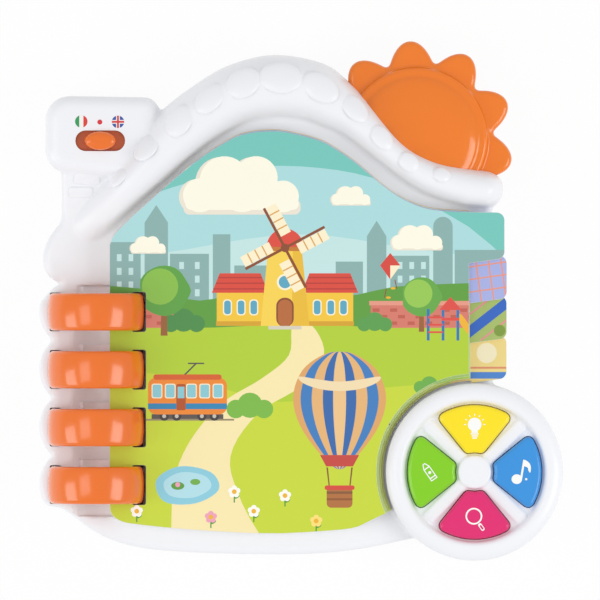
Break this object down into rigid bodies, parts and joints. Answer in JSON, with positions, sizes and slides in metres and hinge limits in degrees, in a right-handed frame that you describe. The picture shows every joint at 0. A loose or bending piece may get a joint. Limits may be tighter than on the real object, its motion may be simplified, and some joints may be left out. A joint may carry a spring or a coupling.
{
  "type": "electronic baby book",
  "caption": "House-shaped baby book: white moulded tray with thick leaves on open orange rings, a sun, a slider and a round button pod.",
  "frame": {"origin": "centre of the outline on the plane of the rear face", "axes": "+X to the reader's right, +Y towards the roof, +Z from the rear face up to the cover"},
  "size_m": [0.2694, 0.2666, 0.0529],
  "materials": {
    "white_abs": "moulded, satin gloss",
    "orange_plastic": "moulded, glossy",
    "yellow_plastic": "moulded, glossy",
    "blue_plastic": "moulded, glossy",
    "magenta_plastic": "moulded, glossy",
    "green_plastic": "moulded, glossy",
    "printed_board": "thick plastic leaf with a laminated print on both faces",
    "circuit_board": "glass fibre board",
    "steel": "plain",
    "black_plastic": "matt",
    "cell_sleeve": "sleeved steel can",
    "silicone": "translucent"
  },
  "bodies": {
    "housing": {"front_shell": "white_abs", "rear_shell": "white_abs", "control_bezel": "white_abs", "battery_door": "white_abs", "sun_lens": "orange_plastic", "sun_led_board": "circuit_board", "button_board": "circuit_board", "switch_board": "circuit_board", "main_board": "circuit_board", "sun_led": "silicone", "slide_switch": "black_plastic", "battery_door_screw": "steel", "battery_1": "cell_sleeve", "battery_2": "cell_sleeve", "contact_plus": "steel", "contact_minus": "steel", "contact_bridge": "steel", "speaker": "black_plastic", "ring_1": "orange_plastic", "button_board_screw_1": "steel", "ring_2": "orange_plastic", "button_board_screw_2": "steel", "ring_3": "orange_plastic", "button_board_screw_3": "steel", "ring_4": "orange_plastic", "button_board_screw_4": "steel", "dome_note": "silicone", "dome_lamp": "silicone", "dome_pencil": "silicone", "dome_glass": "silicone", "housing_screw_1": "steel", "housing_screw_2": "steel", "housing_screw_3": "steel", "housing_screw_4": "steel", "housing_screw_5": "steel", "housing_screw_6": "steel", "housing_screw_7": "steel", "housing_screw_8": "steel", "speaker_lead": "black_plastic", "battery_lead": "black_plastic", "button_lead": "black_plastic", "sun_lead": "black_plastic", "slider_lead": "black_plastic"},
    "leaf_1": {"leaf_1": "printed_board"},
    "leaf_2": {"leaf_2": "printed_board"},
    "leaf_3": {"leaf_3": "printed_board"},
    "leaf_4": {"leaf_4": "printed_board"},
    "button_note": {"button_note": "blue_plastic"},
    "button_lamp": {"button_lamp": "yellow_plastic"},
    "button_pencil": {"button_pencil": "green_plastic"},
    "button_glass": {"button_glass": "magenta_plastic"},
    "slider": {"language_slider": "orange_plastic", "switch_lever": "black_plastic"}
  },
  "joints": [
    {"name": "leaf_4_turn", "type": "hinge", "parent": "housing", "child": "leaf_4", "pos_m": [-0.1049, -0.0502, 0.02795], "axis": [0, -1, 0], "range_deg": [0, 180]},
    {"name": "leaf_3_turn", "type": "hinge", "parent": "leaf_4", "child": "leaf_3", "pos_m": [-0.1049, -0.0502, 0.02795], "axis": [0, -1, 0], "range_deg": [0, 180]},
    {"name": "leaf_2_turn", "type": "hinge", "parent": "leaf_3", "child": "leaf_2", "pos_m": [-0.1049, -0.0502, 0.02795], "axis": [0, -1, 0], "range_deg": [0, 180]},
    {"name": "leaf_1_turn", "type": "hinge", "parent": "leaf_2", "child": "leaf_1", "pos_m": [-0.1049, -0.0502, 0.02795], "axis": [0, -1, 0], "range_deg": [0, 180]},
    {"name": "button_note_press", "type": "slide", "parent": "housing", "child": "button_note", "axis": [0, 0, -1], "range_m": [0, 0.0015], "deforming": ["dome_note"]},
    {"name": "button_lamp_press", "type": "slide", "parent": "housing", "child": "button_lamp", "axis": [0, 0, -1], "range_m": [0, 0.0015], "deforming": ["dome_lamp"]},
    {"name": "button_pencil_press", "type": "slide", "parent": "housing", "child": "button_pencil", "axis": [0, 0, -1], "range_m": [0, 0.0015], "deforming": ["dome_pencil"]},
    {"name": "button_glass_press", "type": "slide", "parent": "housing", "child": "button_glass", "axis": [0, 0, -1], "range_m": [0, 0.0015], "deforming": ["dome_glass"]},
    {"name": "language_slide", "type": "slide", "parent": "housing", "child": "slider", "axis": [1, 0, 0], "range_m": [-0.0049, 0.0049]}
  ]
}
